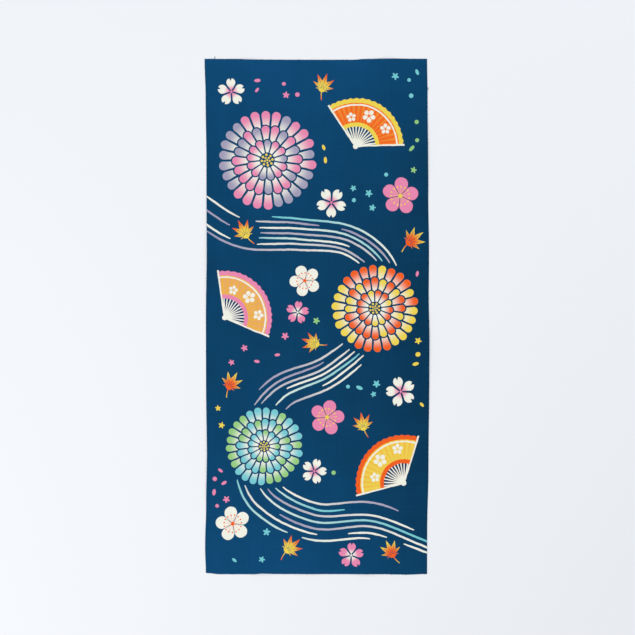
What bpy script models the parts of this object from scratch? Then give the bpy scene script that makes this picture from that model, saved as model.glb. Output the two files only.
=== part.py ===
"""Tenugui towel: one cut length of dyed plain-weave cotton, laid out flat on a surface.

The towel is a single sheet. Its long sides are woven selvedges and its short ends are plain cuts
with no hem, so it has no other sewn or fitted piece.

Frame: metres, +Z up. The origin is the middle of the underside. +X runs across the cloth from
selvedge to selvedge, and +Y runs along it towards the upper cut end.
"""

import math
from collections import namedtuple

import bpy
import numpy as np

MM = 0.001

# Driving dimensions
WIDTH = 380 * MM  # from selvedge to selvedge
LENGTH = 880 * MM  # from cut end to cut end
THICKNESS = 1 * MM  # of the solid that stands for the thin cloth

# Cells of the sheet across its width and along its length
CELLS_ACROSS = 42
CELLS_ALONG = 84

INDIGO = (0.0065, 0.054, 0.137, 1.0)
CLOTH_ROUGHNESS = 0.85

# How far an edge stands outside the plain rectangle, at places along that edge. Places run from
# the left or from the lower end. A negative value is a stretch that is drawn in.
EdgePoint = namedtuple("EdgePoint", "place out")

LEFT_SELVEDGE = (
    EdgePoint(0 * MM, 0.2 * MM),
    EdgePoint(45 * MM, 1.5 * MM),
    EdgePoint(115 * MM, -0.4 * MM),
    EdgePoint(205 * MM, -1.7 * MM),
    EdgePoint(330 * MM, -0.1 * MM),
    EdgePoint(430 * MM, 0.1 * MM),
    EdgePoint(550 * MM, -1.4 * MM),
    EdgePoint(700 * MM, -0.8 * MM),
    EdgePoint(815 * MM, 0.6 * MM),
    EdgePoint(880 * MM, 2.4 * MM),
)

RIGHT_SELVEDGE = (
    EdgePoint(0 * MM, -2.4 * MM),
    EdgePoint(75 * MM, -2.2 * MM),
    EdgePoint(180 * MM, 0.0 * MM),
    EdgePoint(330 * MM, 1.2 * MM),
    EdgePoint(400 * MM, 1.5 * MM),
    EdgePoint(470 * MM, 0.4 * MM),
    EdgePoint(550 * MM, 0.9 * MM),
    EdgePoint(650 * MM, -0.4 * MM),
    EdgePoint(815 * MM, -1.6 * MM),
    EdgePoint(880 * MM, -2.4 * MM),
)

LOWER_END = (
    EdgePoint(0 * MM, -1.9 * MM),
    EdgePoint(25 * MM, 0.1 * MM),
    EdgePoint(80 * MM, 0.1 * MM),
    EdgePoint(97 * MM, -1.1 * MM),
    EdgePoint(125 * MM, -0.1 * MM),
    EdgePoint(290 * MM, 0.0 * MM),
    EdgePoint(345 * MM, 0.8 * MM),
    EdgePoint(380 * MM, -0.2 * MM),
)

UPPER_END = (
    EdgePoint(0 * MM, 0.6 * MM),
    EdgePoint(45 * MM, 0.4 * MM),
    EdgePoint(85 * MM, -0.6 * MM),
    EdgePoint(165 * MM, -1.0 * MM),
    EdgePoint(250 * MM, -1.0 * MM),
    EdgePoint(280 * MM, 0.5 * MM),
    EdgePoint(320 * MM, 0.9 * MM),
    EdgePoint(380 * MM, 0.6 * MM),
)

# Where the cloth stands off the surface in a soft ridge: the ridge's middle, the way it runs in
# degrees from +X, its reach along and across from the middle, and its height.
Ripple = namedtuple("Ripple", "x y heading along across height")

RIPPLES = (
    Ripple(-94 * MM, -446 * MM, 91, 125 * MM, 30 * MM, 1.7 * MM),
    Ripple(-14 * MM, -446 * MM, 86, 95 * MM, 30 * MM, 1.0 * MM),
    Ripple(84 * MM, -446 * MM, 97, 135 * MM, 36 * MM, 1.5 * MM),
    Ripple(-196 * MM, -250 * MM, 88, 150 * MM, 34 * MM, 1.5 * MM),
    Ripple(60 * MM, -205 * MM, 24, 175 * MM, 55 * MM, 0.9 * MM),
    Ripple(-196 * MM, 120 * MM, 92, 165 * MM, 36 * MM, 1.6 * MM),
    Ripple(-20 * MM, 95 * MM, 158, 190 * MM, 60 * MM, 0.9 * MM),
    Ripple(196 * MM, -60 * MM, 94, 140 * MM, 34 * MM, 1.3 * MM),
    Ripple(196 * MM, 285 * MM, 86, 120 * MM, 32 * MM, 1.4 * MM),
    Ripple(-25 * MM, 405 * MM, 2, 125 * MM, 34 * MM, 1.5 * MM),
    Ripple(-120 * MM, 446 * MM, 100, 110 * MM, 32 * MM, 1.2 * MM),
    Ripple(120 * MM, 446 * MM, 80, 120 * MM, 34 * MM, 1.3 * MM),
)


def clear_scene():
    """Removes whatever objects the scene holds."""
    for thing in list(bpy.data.objects):
        bpy.data.objects.remove(thing, do_unlink=True)


def make_collection(name):
    """A new collection in the scene."""
    collection = bpy.data.collections.new(name)
    bpy.context.scene.collection.children.link(collection)
    return collection


def edge_out(points, place):
    """How far the edge stands out at each place, eased from one table point to the next."""
    places = np.array([point.place for point in points])
    outs = np.array([point.out for point in points])
    after = np.clip(np.searchsorted(places, place), 1, len(places) - 1)
    share = (place - places[after - 1]) / (places[after] - places[after - 1])
    eased = (1 - np.cos(math.pi * np.clip(share, 0, 1))) / 2
    return outs[after - 1] * (1 - eased) + outs[after] * eased


def swell(distance):
    """1 in the middle, falling as a squared cosine to 0 at a distance of 1 and beyond."""
    return np.cos(math.pi / 2 * np.clip(np.abs(distance), 0, 1)) ** 2


def ripple_height(x, y):
    """How far the underside stands off the surface. It is 0 wherever no ripple reaches."""
    height = np.zeros_like(x)
    for ripple in RIPPLES:
        heading = math.radians(ripple.heading)
        from_x = x - ripple.x
        from_y = y - ripple.y
        along = from_x * math.cos(heading) + from_y * math.sin(heading)
        across = from_y * math.cos(heading) - from_x * math.sin(heading)
        height += ripple.height * swell(along / ripple.along) * swell(across / ripple.across)
    return height


def lay_out(share_across, share_along):
    """Underside points of the cloth for shares from 0 to 1 of its width and of its length."""
    place_across = share_across * WIDTH
    place_along = share_along * LENGTH
    left = -WIDTH / 2 - edge_out(LEFT_SELVEDGE, place_along)
    right = WIDTH / 2 + edge_out(RIGHT_SELVEDGE, place_along)
    lower = -LENGTH / 2 - edge_out(LOWER_END, place_across)
    upper = LENGTH / 2 + edge_out(UPPER_END, place_across)
    x = left + (right - left) * share_across
    y = lower + (upper - lower) * share_along
    height = ripple_height(x, y)
    x -= (x.min() + x.max()) / 2
    y -= (y.min() + y.max()) / 2
    return np.column_stack([x, y, height])


def cloth_material():
    """Matt cotton in the colour of the dyed ground."""
    material = bpy.data.materials.new("indigo_cotton")
    material.use_nodes = True
    shader = material.node_tree.nodes["Principled BSDF"]
    shader.inputs["Base Color"].default_value = INDIGO
    shader.inputs["Roughness"].default_value = CLOTH_ROUGHNESS
    shader.inputs["Metallic"].default_value = 0.0
    material.diffuse_color = INDIGO
    return material


def make_towel(collection):
    """The whole towel: a grid laid to the uneven outline and ripples, thickened upwards."""
    bpy.ops.mesh.primitive_grid_add(x_subdivisions=CELLS_ACROSS, y_subdivisions=CELLS_ALONG, size=1)
    towel = bpy.context.object
    towel.name = towel.data.name = "towel"
    for holder in list(towel.users_collection):
        holder.objects.unlink(towel)
    collection.objects.link(towel)

    flat = np.empty(len(towel.data.vertices) * 3, np.float32)
    towel.data.vertices.foreach_get("co", flat)
    shares = flat.reshape(-1, 3).astype(float) + 0.5
    laid = lay_out(np.clip(shares[:, 0], 0, 1), np.clip(shares[:, 1], 0, 1))
    towel.data.vertices.foreach_set("co", laid.astype(np.float32).ravel())
    towel.data.update()

    thicken = towel.modifiers.new("cloth thickness", "SOLIDIFY")
    thicken.thickness = THICKNESS
    thicken.offset = 1
    towel.data.shade_smooth()
    towel.data.materials.append(cloth_material())
    return towel


def main():
    clear_scene()
    make_towel(make_collection("tenugui_towel"))


main()
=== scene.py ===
"""Looks of a tenugui towel: printed plain-weave cotton, laid out flat and seen from straight above.

Lengths are in metres, +Z is up, +X runs across the cloth and +Y along it towards the upper cut end.
The tables give places on the flat cloth in millimetres from its middle, and directions in degrees
from +X.
"""

import math
from collections import namedtuple

import bpy
import numpy as np
from bpy.props import FloatProperty, FloatVectorProperty, IntProperty, PointerProperty
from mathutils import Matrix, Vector


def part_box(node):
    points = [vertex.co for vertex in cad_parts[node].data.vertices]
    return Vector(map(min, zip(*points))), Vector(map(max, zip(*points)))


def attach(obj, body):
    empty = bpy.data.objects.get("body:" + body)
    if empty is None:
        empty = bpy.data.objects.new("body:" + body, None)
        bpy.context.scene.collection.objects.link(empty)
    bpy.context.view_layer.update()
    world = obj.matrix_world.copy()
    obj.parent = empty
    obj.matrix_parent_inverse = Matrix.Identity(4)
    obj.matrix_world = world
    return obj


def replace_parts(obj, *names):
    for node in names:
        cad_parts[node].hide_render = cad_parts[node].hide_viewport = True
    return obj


bl_info = {
    "name": "Tenugui towel",
    "version": (1, 0, 0),
    "blender": (4, 5, 0),
    "location": "3D View > Sidebar > Tenugui",
    "description": "Lays out a printed cotton towel with its selvedges and cut ends",
    "category": "Add Mesh",
}

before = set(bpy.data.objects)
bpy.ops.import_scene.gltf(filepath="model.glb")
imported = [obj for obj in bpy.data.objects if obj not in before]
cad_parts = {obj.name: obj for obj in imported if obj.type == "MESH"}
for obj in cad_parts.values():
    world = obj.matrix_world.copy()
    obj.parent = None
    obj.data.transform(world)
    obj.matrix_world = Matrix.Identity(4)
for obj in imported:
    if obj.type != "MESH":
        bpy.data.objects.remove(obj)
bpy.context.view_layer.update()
TOWEL_LOW, TOWEL_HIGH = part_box("towel")

MM = 0.001
BODY = "root"
FAR_AWAY = 9.0  # metres, a place on no motif

# Flat size of the cut length
WIDTH = 380 * MM
LENGTH = 880 * MM

# How far each edge stands outside the plain rectangle, as pairs of a place and a distance out.
# Places count from the lower end along a selvedge, and from the left along an end.
LEFT_SELVEDGE = (
    (0, 0.2), (45, 1.5), (115, -0.4), (205, -1.7), (330, -0.1), (430, 0.1), (550, -1.4), (700, -0.8),
    (815, 0.6), (880, 2.4),
)
RIGHT_SELVEDGE = (
    (0, -2.4), (75, -2.2), (180, 0.0), (330, 1.2), (400, 1.5), (470, 0.4), (550, 0.9), (650, -0.4),
    (815, -1.6), (880, -2.4),
)
LOWER_END = (
    (0, -1.9), (25, 0.1), (80, 0.1), (97, -1.1), (125, -0.1), (290, 0.0), (345, 0.8), (380, -0.2),
)
UPPER_END = (
    (0, 0.6), (45, 0.4), (85, -0.6), (165, -1.0), (250, -1.0), (280, 0.5), (320, 0.9), (380, 0.6),
)

# Soft ridges where the cloth stands off the surface: middle, direction, reach along and across
# from the middle, and height
Ripple = namedtuple("Ripple", "x y heading along across height")

RIPPLES = (
    Ripple(-94, -446, 91, 125, 30, 1.7),
    Ripple(-14, -446, 86, 95, 30, 1.0),
    Ripple(84, -446, 97, 135, 36, 1.5),
    Ripple(-196, -250, 88, 150, 34, 1.5),
    Ripple(60, -205, 24, 175, 55, 0.9),
    Ripple(-196, 120, 92, 165, 36, 1.6),
    Ripple(-20, 95, 158, 190, 60, 0.9),
    Ripple(196, -60, 94, 140, 34, 1.3),
    Ripple(196, 285, 86, 120, 32, 1.4),
    Ripple(-25, 405, 2, 125, 34, 1.5),
    Ripple(-120, 446, 100, 110, 32, 1.2),
    Ripple(120, 446, 80, 120, 34, 1.3),
)

# Finer folds that stay low, in the same form
CREASES = (
    Ripple(-150, 350, 74, 120, 13, 0.45),
    Ripple(-58, 300, 101, 150, 11, 0.35),
    Ripple(70, 230, 64, 140, 12, 0.4),
    Ripple(150, 90, 98, 130, 12, 0.45),
    Ripple(-120, -20, 83, 160, 12, 0.4),
    Ripple(30, -60, 112, 130, 14, 0.35),
    Ripple(110, -180, 79, 150, 12, 0.45),
    Ripple(-60, -290, 96, 130, 11, 0.4),
    Ripple(22, -380, 88, 90, 9, 0.45),
    Ripple(-130, -392, 86, 80, 10, 0.4),
    Ripple(140, -385, 99, 80, 10, 0.45),
    Ripple(15, 150, 8, 150, 15, 0.3),
    Ripple(-30, -140, 171, 140, 14, 0.3),
)

# Printed motifs. The dyes are named after the properties of TowelDyes.
Mum = namedtuple("Mum", "x y radius turn tip second root")
Fan = namedtuple("Fan", "x y radius turn leaf band trim")
Blossom = namedtuple("Blossom", "x y radius turn petal eye")
Leaf = namedtuple("Leaf", "x y radius turn tip root")
Grain = namedtuple("Grain", "x y radius turn slim lobes dye")

MUMS = (
    Mum(-86, 268, 86, 8, "pink", "lavender", "cream"),
    Mum(98, 14, 76, 24, "orange", "yellow", "cream"),
    Mum(-92, -222, 68, 3, "cyan", "green", "cream"),
)

FANS = (
    Fan(66, 292, 84, 62, "orange", "yellow", "cream"),
    Fan(-158, -2, 82, 38, "gold", "pink", "cream"),
    Fan(148, -284, 84, 134, "yellow", "orange", "cream"),
)

PLUMS = (
    Blossom(142, 206, 32, 12, "pink", "yellow"),
    Blossom(-22, 62, 27, 40, "cream", "orange"),
    Blossom(16, -172, 30, 4, "pink", "yellow"),
    Blossom(-144, -354, 30, 30, "cream", "orange"),
)

CHERRIES = (
    Blossom(-146, 384, 24, 20, "cream", "pink"),
    Blossom(24, 196, 26, 52, "cream", "pink"),
    Blossom(-34, 8, 20, 10, "pink", "cream"),
    Blossom(142, -128, 26, 35, "cream", "pink"),
    Blossom(-6, -264, 22, 0, "cream", "pink"),
    Blossom(60, -408, 22, 15, "pink", "cream"),
)

MAPLES = (
    Leaf(10, 392, 26, 70, "orange", "yellow"),
    Leaf(-124, 141, 27, 118, "orange", "yellow"),
    Leaf(158, 128, 28, 35, "yellow", "orange"),
    Leaf(-4, -46, 25, 160, "orange", "yellow"),
    Leaf(-150, -118, 26, 60, "yellow", "orange"),
    Leaf(78, -188, 25, 100, "orange", "yellow"),
    Leaf(-48, -398, 27, 40, "orange", "yellow"),
    Leaf(130, -405, 25, 115, "yellow", "orange"),
)

# The stream's middle line, from the left selvedge to the right one
STREAM_COURSE = (
    (-208, 192),
    (-130, 148),
    (-34, 142),
    (58, 128),
    (116, 68),
    (98, -20),
    (20, -92),
    (-66, -132),
    (-112, -206),
    (-94, -300),
    (-6, -350),
    (98, -350),
    (208, -392),
)

# The lines of the stream: lane from the middle line, where each starts and stops as a share of the
# course, and its dyes at the start and at the end
StreamLine = namedtuple("StreamLine", "lane start stop dye fade")

STREAM_LINES = (
    StreamLine(-3, 0.03, 0.30, "lavender", "cream"),
    StreamLine(-3, 0.36, 0.58, "cream", "lavender"),
    StreamLine(-3, 0.64, 0.90, "cyan", "cream"),
    StreamLine(-2, 0.00, 0.42, "cream", "lavender"),
    StreamLine(-2, 0.48, 0.82, "lavender", "cream"),
    StreamLine(-2, 0.86, 1.00, "cream", "cream"),
    StreamLine(-1, 0.05, 0.24, "cyan", "cream"),
    StreamLine(-1, 0.30, 0.70, "cream", "lavender"),
    StreamLine(-1, 0.76, 1.00, "lavender", "cream"),
    StreamLine(0, 0.00, 0.55, "lavender", "cream"),
    StreamLine(0, 0.59, 1.00, "cream", "cyan"),
    StreamLine(1, 0.08, 0.36, "cream", "cyan"),
    StreamLine(1, 0.40, 0.66, "cyan", "cream"),
    StreamLine(1, 0.69, 0.96, "lavender", "cream"),
    StreamLine(2, 0.00, 0.19, "cream", "lavender"),
    StreamLine(2, 0.22, 0.50, "lavender", "cream"),
    StreamLine(2, 0.60, 0.86, "cream", "cyan"),
    StreamLine(3, 0.12, 0.33, "cyan", "cream"),
    StreamLine(3, 0.44, 0.61, "cream", "lavender"),
    StreamLine(3, 0.74, 0.93, "cream", "lavender"),
)

LINE_TAPER = 26 * MM  # over which the end of a line narrows
LINE_GAP = 4.5  # millimetres from the end of a line to the motif in its way
SHORTEST_RUN = 24 * MM  # of a line between two motifs
COURSE_STEP = 2 * MM
CURVE_STEPS = 60  # from one point of the course to the next, before it is cut into even steps

# A maple leaf as circles that the stream's lines stay out of, its blade and its stalk: place
# ahead of the leaf's middle and radius, as shares of its own radius
BLADE_AT = 0.16
LEAF_CIRCLES = (
    (BLADE_AT, 0.80),
    (-0.5, 0.30),
)

# Drifts of small printed dots, petals and stars: middle, spread, how many and their dye
Drift = namedtuple("Drift", "x y spread_x spread_y count dye")

DRIFTS = (
    Drift(-50, 388, 70, 28, 14, "pink"),
    Drift(110, 398, 66, 22, 12, "cyan"),
    Drift(-170, 226, 14, 50, 7, "green"),
    Drift(18, 262, 24, 60, 10, "yellow"),
    Drift(164, 296, 18, 60, 9, "green"),
    Drift(88, 214, 40, 34, 12, "cyan"),
    Drift(-96, 92, 70, 22, 12, "cyan"),
    Drift(164, 104, 18, 34, 7, "pink"),
    Drift(2, 30, 26, 50, 12, "green"),
    Drift(-100, -62, 70, 30, 13, "pink"),
    Drift(166, -92, 18, 60, 8, "yellow"),
    Drift(70, -140, 60, 30, 14, "cyan"),
    Drift(-172, -150, 14, 60, 8, "yellow"),
    Drift(0, -228, 34, 50, 12, "green"),
    Drift(66, -256, 26, 40, 9, "yellow"),
    Drift(-168, -290, 16, 44, 8, "pink"),
    Drift(-90, -392, 60, 28, 10, "cyan"),
    Drift(92, -408, 70, 18, 12, "yellow"),
)

# The kinds of small print, by the number of the random pick: radius, how slim, and how deep the
# dips in its rim are
GRAIN_KINDS = (
    (3.6, 1.0, 0.0),
    (5.2, 1.9, 0.0),
    (5.6, 1.0, 0.5),
)
GRAIN_ROOM = 7  # millimetres of ground round a large motif
GRAIN_SPACING = 6  # millimetres of ground round another small one
GRAIN_FIELD = (178, 426)  # how far small ones go from the middle, across and along
STREAM_ROOM = 4.4  # lanes kept clear of them on each side of the stream's middle line

# The circle round a fan: how far its middle is from the pivot, and its radius
FAN_MIDDLE = 0.62
FAN_ROOM = 0.92

# How far from its middle a motif still owns the cloth's cells, in shares of its radius
MOTIF_REACH = 1.16
GRAIN_REACH = 1.9

GRAIN_SEED = 11
FRAY_SEED = 23
SELVEDGE_SEED = 31

# Loose threads at the edges: root on the flat cloth, direction, length and how much they curl
Stray = namedtuple("Stray", "x y heading length curl")

STRAYS = (
    Stray(-173.5, 440, 74, 6.2, 0.3),
    Stray(-172.7, 440, 84, 5.2, -0.5),
    Stray(190, 389.4, 8, 3.4, 0.8),
    Stray(190, 388.0, -16, 3.2, -1.4),
    Stray(190, 388.6, 24, 3.0, 1.6),
    Stray(190, 387.6, 2, 3.0, 0.4),
    Stray(-30, 440, 100, 2.6, -2.0),
    Stray(128, -440, -80, 3.2, 1.8),
    Stray(-110, -440, -104, 2.4, -2.4),
    Stray(-190, -60, 186, 1.8, 2.0),
)
THREAD_RADIUS = 0.17 * MM
THREAD_STEPS = 14


def length_property(name, description, default, low, high):
    """A length in metres, between its lowest and its highest value."""
    return FloatProperty(
        name=name, description=description, default=default, min=low, max=high, unit="LENGTH", precision=5,
    )


def colour_property(name, description, colour):
    """A colour in linear light."""
    return FloatVectorProperty(
        name=name, description=description, default=colour, min=0.0, max=1.0, size=3, subtype="COLOR",
    )


class TowelCloth(bpy.types.PropertyGroup):
    """Sizes of the cloth and its yarns."""

    thickness: length_property(
        "Thickness", "Thickness of the woven cotton", 0.45 * MM, 0.2 * MM, 2 * MM,
    )
    cell: length_property(
        "Cell", "Side of one cell of the cloth's surface", 2.75 * MM, 2.6 * MM, 20 * MM,
    )
    yarn_pitch: length_property(
        "Yarn pitch", "Distance from one yarn to the next", 0.5 * MM, 0.3 * MM, 2 * MM,
    )
    fray: length_property(
        "Fray", "Longest yarn end that stands out of a cut end", 1.1 * MM, 0.2 * MM, 8 * MM,
    )
    selvedge: length_property(
        "Selvedge", "Width of the denser band along each long side", 3.6 * MM, 0.0, 20 * MM,
    )


class TowelDyes(bpy.types.PropertyGroup):
    """Colours of the ground and of the print."""

    # On the cloth these two are mixed by a ramp of painted light and shade as well as by the dye's clouds
    # and slubs
    ground_deep: colour_property("Deep ground", "Ground where the dye took most", (0.0029, 0.037, 0.087))
    ground_light: colour_property("Light ground", "Ground where the dye took least", (0.0050, 0.070, 0.182))
    cream: colour_property("Cream", "Undyed cotton left bare by the print", (0.89, 0.885, 0.78))
    yellow: colour_property("Yellow", "Yellow of petals and fans", (0.87, 0.66, 0.085))
    gold: colour_property("Gold", "Deeper yellow", (0.84, 0.45, 0.055))
    orange: colour_property("Orange", "Orange red of petals, leaves and fans", (0.90, 0.12, 0.018))
    pink: colour_property("Pink", "Pink of petals", (0.82, 0.25, 0.43))
    cyan: colour_property("Cyan", "Light blue of petals and water", (0.18, 0.59, 0.64))
    green: colour_property("Green", "Light green of petals", (0.30, 0.60, 0.215))
    lavender: colour_property("Lavender", "Grey violet of petals and water", (0.37, 0.34, 0.47))


class TowelPrint(bpy.types.PropertyGroup):
    """Sizes in the print."""

    petals: IntProperty(
        name="Petals", description="Petals in a chrysanthemum's outer ring", default=26, min=8, max=60,
    )
    lane_pitch: length_property(
        "Lane pitch", "Distance from one line of the stream to the next", 9 * MM, 4 * MM, 20 * MM,
    )
    line_width: length_property(
        "Line width", "Full width of a line of the stream", 3.4 * MM, 0.5 * MM, 8 * MM,
    )


class TowelStage(bpy.types.PropertyGroup):
    """The surface under the towel, the light and the camera."""

    surface: colour_property("Surface", "Colour of the pale surface", (0.831, 0.84, 0.869))
    daylight: FloatProperty(
        name="Daylight", description="Strength of the even light from all round", default=0.96, min=0.0,
        max=10.0,
    )
    window: FloatProperty(
        name="Window", description="Power of the broad light on the left", default=16.0, min=0.0,
        max=1000.0, unit="POWER",
    )
    lens: FloatProperty(
        name="Lens", description="Focal length in millimetres", default=85.0, min=10.0, max=300.0,
    )


def edge_out(points, place):
    """How far an edge stands out at each place.

    Between two table points the value eases over by half a cosine wave.
    """
    places, outs = np.array(points, float).T * MM
    after = np.clip(np.searchsorted(places, place), 1, len(places) - 1)
    share = (place - places[after - 1]) / (places[after] - places[after - 1])
    eased = (1 - np.cos(math.pi * np.clip(share, 0, 1))) / 2
    return outs[after - 1] * (1 - eased) + outs[after] * eased


def swell(distance):
    """1 in the middle, falling as a squared cosine to 0 at a distance of 1 and beyond."""
    return np.cos(math.pi / 2 * np.clip(np.abs(distance), 0, 1)) ** 2


def fold_height(folds, x, y):
    """Sum of the folds, each its height times a swell along it times a swell across it."""
    height = np.zeros_like(x)
    for fold in folds:
        heading = math.radians(fold.heading)
        from_x = x - fold.x * MM
        from_y = y - fold.y * MM
        along = from_x * math.cos(heading) + from_y * math.sin(heading)
        across = from_y * math.cos(heading) - from_x * math.sin(heading)
        height += fold.height * MM * swell(along / (fold.along * MM)) * swell(across / (fold.across * MM))
    return height


def uneven_edges(share_across, share_along):
    """Where the left, right, lower and upper edge stand at shares of the way across and along."""
    left = -WIDTH / 2 - edge_out(LEFT_SELVEDGE, share_along * LENGTH)
    right = WIDTH / 2 + edge_out(RIGHT_SELVEDGE, share_along * LENGTH)
    lower = -LENGTH / 2 - edge_out(LOWER_END, share_across * WIDTH)
    upper = LENGTH / 2 + edge_out(UPPER_END, share_across * WIDTH)
    return left, right, lower, upper


def cloth_shift():
    """How far the towel's box is from the middle of its uneven outline, across and along."""
    places = np.linspace(0, 1, 400)
    left, right, lower, upper = uneven_edges(places, places)
    across = (TOWEL_LOW.x + TOWEL_HIGH.x) / 2 - (left.min() + right.max()) / 2
    along = (TOWEL_LOW.y + TOWEL_HIGH.y) / 2 - (lower.min() + upper.max()) / 2
    return across, along


def lay_out(flat):
    """Underside points of the cloth for flat places (x, y) from the cloth's middle.

    The flat rectangle is stretched to the uneven edges, lifted by the ripples and creases, and
    then centred in the towel's box.
    """
    share_across = np.clip(flat[:, 0] / WIDTH + 0.5, 0, 1)
    share_along = np.clip(flat[:, 1] / LENGTH + 0.5, 0, 1)
    left, right, lower, upper = uneven_edges(share_across, share_along)
    x = left + (right - left) * share_across
    y = lower + (upper - lower) * share_along
    height = fold_height(RIPPLES + CREASES, x, y)
    shift_x, shift_y = cloth_shift()
    return np.column_stack([x + shift_x, y + shift_y, height + TOWEL_LOW.z])


def add_mesh(name, points, faces, material):
    """A smooth mesh object at the origin. Faces are rows of equally many point numbers."""
    mesh = bpy.data.meshes.new(name)
    corners = faces.shape[1]
    mesh.vertices.add(len(points))
    mesh.vertices.foreach_set("co", points.astype(np.float32).ravel())
    mesh.loops.add(faces.size)
    mesh.loops.foreach_set("vertex_index", faces.astype(np.int32).ravel())
    mesh.polygons.add(len(faces))
    mesh.polygons.foreach_set("loop_start", np.arange(len(faces), dtype=np.int32) * corners)
    mesh.update(calc_edges=True)
    mesh.validate()
    mesh.shade_smooth()
    mesh.materials.append(material)
    thing = bpy.data.objects.new(name, mesh)
    bpy.context.scene.collection.objects.link(thing)
    return thing


def grid_lines(length, cell, rim):
    """Places of the grid's lines along one side: a narrow cell at each edge and even ones between."""
    inner = np.linspace(rim, length - rim, max(2, round((length - 2 * rim) / cell) + 1))
    return np.concatenate([[0.0], inner, [length]]) - length / 2


RIM_BULGE = 0.45  # how far the rim stands out, in shares of the thickness
MAP_MARGIN = 0.006  # bare border of the map
MAP_STRIP = 0.0025  # width of the rim in the map


class ClothGrid:
    """The cloth as a closed shell: a front grid, a back grid below it and a rounded rim.

    Each face corner also knows its place on the flat cloth, so that the print follows the cloth.
    """

    def __init__(self, cell, thickness):
        across = grid_lines(WIDTH, cell, thickness)
        along = grid_lines(LENGTH, cell, thickness)
        flat_x, flat_y = np.meshgrid(across, along)
        self.flat = np.column_stack([flat_x.ravel(), flat_y.ravel()])
        number = np.arange(flat_x.size).reshape(flat_x.shape)
        cells = np.stack([number[:-1, :-1], number[:-1, 1:], number[1:, 1:], number[1:, :-1]], -1)
        self.front = cells.reshape(-1, 4)
        self.edge = np.concatenate([number[0, :-1], number[:-1, -1], number[-1, :0:-1], number[:0:-1, 0]])
        self.after = np.roll(self.edge, -1)

        under = lay_out(self.flat)
        over = under + (0, 0, thickness)
        bulge = (under[self.edge] + over[self.edge]) / 2 + self.outward(self.edge) * thickness * RIM_BULGE
        self.points = np.concatenate([over, under, bulge])
        self.faces = self.shell_faces()
        rim = np.stack([self.edge, self.after, self.after, self.edge], -1)
        self.corner_flat = self.flat[np.concatenate([self.front, self.front[:, ::-1], rim, rim])]

    def shell_faces(self):
        """Faces of the front, of the back, and of the rim's upper and lower strip, in that order."""
        below = len(self.flat)
        ring = 2 * below + np.arange(len(self.edge))
        ring_after = np.roll(ring, -1)
        upper = np.stack([ring, ring_after, self.after, self.edge], -1)
        lower = np.stack([below + self.edge, below + self.after, ring_after, ring], -1)
        return np.concatenate([self.front, self.front[:, ::-1] + below, upper, lower])

    def outward(self, numbers):
        """Unit-length outward direction at points on the edge, straight out or at 45 degrees."""
        x, y = self.flat[numbers].T
        out = np.zeros((len(numbers), 3))
        out[:, 0] = np.isclose(np.abs(x), WIDTH / 2) * np.sign(x)
        out[:, 1] = np.isclose(np.abs(y), LENGTH / 2) * np.sign(y)
        return out / np.linalg.norm(out, axis=1, keepdims=True)

    def bake_map(self):
        """Map for the whole shell: the front fills the left half of the square, the back the right.

        The rim's strips lie round the two, moved out square to the edge.
        """
        grid = len(self.front)
        strip = len(self.edge)
        on_back = np.repeat([False, True, False, True], [grid, grid, strip, strip])
        out = self.outward(self.edge)[:, :2]
        out_after = self.outward(self.after)[:, :2]
        spread = np.zeros(self.corner_flat.shape)
        spread[2 * grid:-strip, 0] = out
        spread[2 * grid:-strip, 1] = out_after
        spread[-strip:, 2] = out_after
        spread[-strip:, 3] = out
        share = self.corner_flat / (WIDTH, LENGTH) + 0.5
        u = MAP_MARGIN + share[..., 0] * (0.5 - 2 * MAP_MARGIN) + spread[..., 0] * MAP_STRIP
        v = MAP_MARGIN + share[..., 1] * (1 - 2 * MAP_MARGIN) + spread[..., 1] * MAP_STRIP
        u = np.where(on_back[:, None], 1 - u, u)
        return np.stack([u, v], -1).reshape(-1, 2)


def smooth_course(points):
    """Points at even steps along a smooth curve through the given ones.

    Between neighbours it is a Hermite cubic whose slope at a point is half the chord between the
    points beside it.
    """
    points = np.array(points) * MM
    slopes = np.gradient(points, axis=0)
    place = np.linspace(0, len(points) - 1, CURVE_STEPS * (len(points) - 1) + 1)
    first = np.minimum(place.astype(int), len(points) - 2)
    t = (place - first)[:, None]
    curve = (
        points[first] * (2 * t**3 - 3 * t**2 + 1)
        + slopes[first] * (t**3 - 2 * t**2 + t)
        + points[first + 1] * (3 * t**2 - 2 * t**3)
        + slopes[first + 1] * (t**3 - t**2)
    )
    return even_steps(curve)


def even_steps(curve):
    """The same curve with points evenly along it."""
    run = np.concatenate([[0.0], np.cumsum(np.linalg.norm(np.diff(curve, axis=0), axis=1))])
    places = np.linspace(0, run[-1], max(2, round(run[-1] / COURSE_STEP) + 1))
    return np.column_stack([np.interp(places, run, curve[:, axis]) for axis in range(curve.shape[1])])


def stream_stroke(line, course, lane_pitch):
    """One line of the stream: the middle line moved sideways to its lane.

    The lanes draw together and apart by a slow cosine along the course, and each line but the
    middle one also wanders by a small sine of its own.
    """
    mean_spread = 1.02
    swing = 0.16
    swing_turn = 7.3  # radians from the start of the course to its end
    stray = 0.8 * MM
    stray_turn = 31  # radians, the same way
    slope = np.gradient(course, axis=0)
    normal = np.column_stack([-slope[:, 1], slope[:, 0]])
    normal /= np.linalg.norm(normal, axis=1, keepdims=True)
    share = np.linspace(0, 1, len(course))
    spread = mean_spread + swing * np.cos(share * swing_turn + 0.6)
    wander = stray * np.sin(share * stray_turn + line.lane * 1.9) * (line.lane != 0)
    moved = course + normal * (line.lane * lane_pitch * spread + wander)[:, None]
    return even_steps(moved[(share >= line.start) & (share <= line.stop)])


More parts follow.
